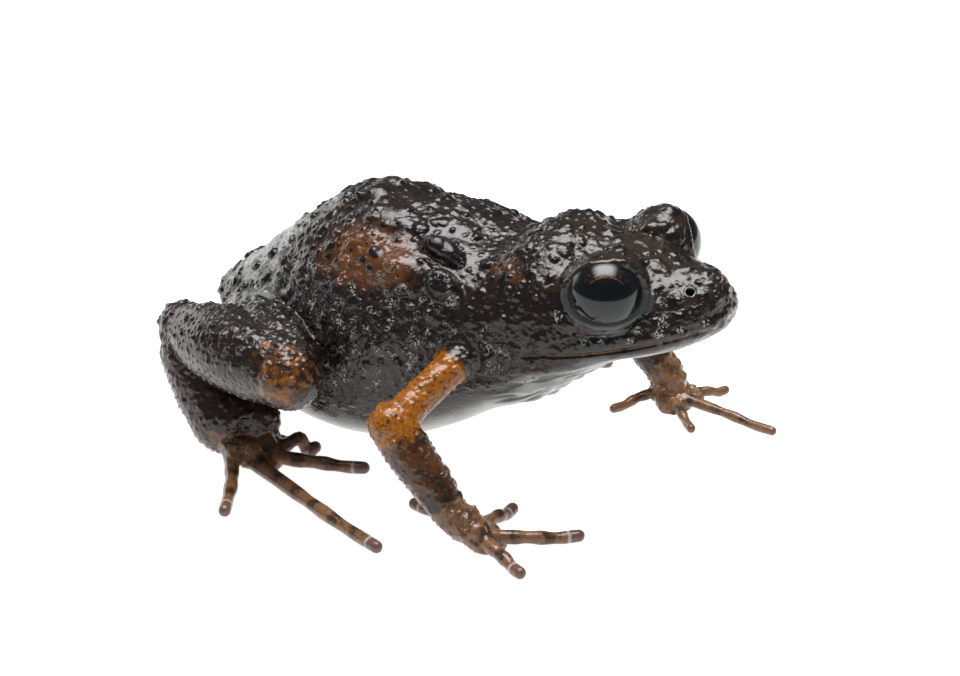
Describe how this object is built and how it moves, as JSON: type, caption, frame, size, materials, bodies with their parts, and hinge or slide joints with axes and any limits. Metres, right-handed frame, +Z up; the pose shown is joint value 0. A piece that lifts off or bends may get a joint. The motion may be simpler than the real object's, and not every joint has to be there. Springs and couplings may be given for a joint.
{
  "type": "frog figure",
  "caption": "Small warty moss frog sitting with raised head, bulging eyes, spread forelegs and folded hind legs, on long slender digits.",
  "frame": {"origin": "on the floor, under the middle of the frog's box", "axes": "+X towards the snout, +Y towards the frog's left side, +Z up from the floor"},
  "size_m": [0.0202, 0.0172, 0.0096],
  "materials": {
    "dark_skin": "wet glossy warty skin, black brown with rusty patches",
    "rusty_skin": "wet glossy skin, dark rusty brown",
    "orange_skin": "wet glossy skin, amber orange with dark flecks",
    "brown_skin": "wet skin, mottled brown with pale rings near the digit tips",
    "eye": "clear wet cornea over a black pupil and a thin copper iris arc"
  },
  "bodies": {
    "root": {"head": "dark_skin", "torso": "dark_skin", "eye_left": "eye", "eye_right": "eye", "upper_arm_left": "orange_skin", "upper_arm_right": "orange_skin", "forearm_left": "rusty_skin", "forearm_right": "rusty_skin", "hand_left": "brown_skin", "hand_right": "brown_skin", "thigh_left": "rusty_skin", "thigh_right": "rusty_skin", "shank_left": "rusty_skin", "shank_right": "rusty_skin", "tarsus_left": "rusty_skin", "tarsus_right": "rusty_skin", "foot_left": "brown_skin", "foot_right": "brown_skin"}
  },
  "joints": []
}
